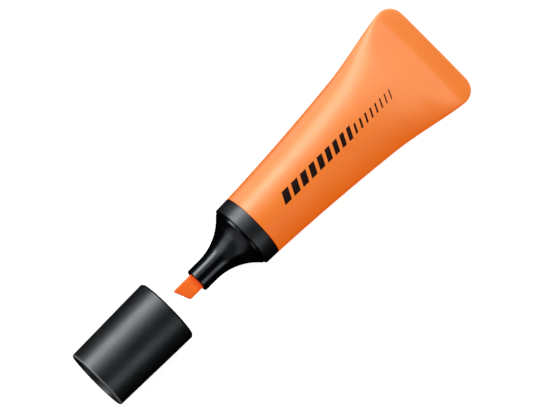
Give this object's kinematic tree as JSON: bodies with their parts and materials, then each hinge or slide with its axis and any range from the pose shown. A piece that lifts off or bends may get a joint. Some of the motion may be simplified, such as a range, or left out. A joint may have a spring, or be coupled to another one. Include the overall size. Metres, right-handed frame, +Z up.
{
  "type": "tube highlighter",
  "caption": "Flat-tailed soft tube highlighter with a flared nose, a chisel nib and a round pull-off cap that slides on along the pen's axis.",
  "frame": {"origin": "on the ground under the middle of the whole object's box, with the cap off and in line with the pen as stored", "axes": "+X along the pen from its flat tail towards the nib and the cap, +Y across the flat tail, +Z up, square to the flat tail"},
  "size_m": [0.1416, 0.037, 0.0217],
  "materials": {
    "tube_soft_plastic": "satin",
    "collar_plastic": "satin",
    "nose_plastic": "gloss",
    "nib_fibre": "matte",
    "ink_fibre": "matte",
    "clear_film": "gloss",
    "natural_plastic": "satin",
    "cap_plastic": "satin"
  },
  "bodies": {
    "pen": {"tube_body": "tube_soft_plastic", "collar_ring": "collar_plastic", "nose_cone": "nose_plastic", "chisel_nib": "nib_fibre", "reservoir_fibre": "ink_fibre", "reservoir_wrap": "clear_film", "cartridge_barrel": "natural_plastic", "barrel_plug": "natural_plastic"},
    "cap": {"cap_shell": "cap_plastic", "cap_end_disc": "cap_plastic", "cap_seal_liner": "natural_plastic"}
  },
  "joints": [
    {"name": "cap_pull", "type": "slide", "parent": "pen", "child": "cap", "axis": [1, 0, 0], "range_m": [-0.0303, 0.01]}
  ]
}
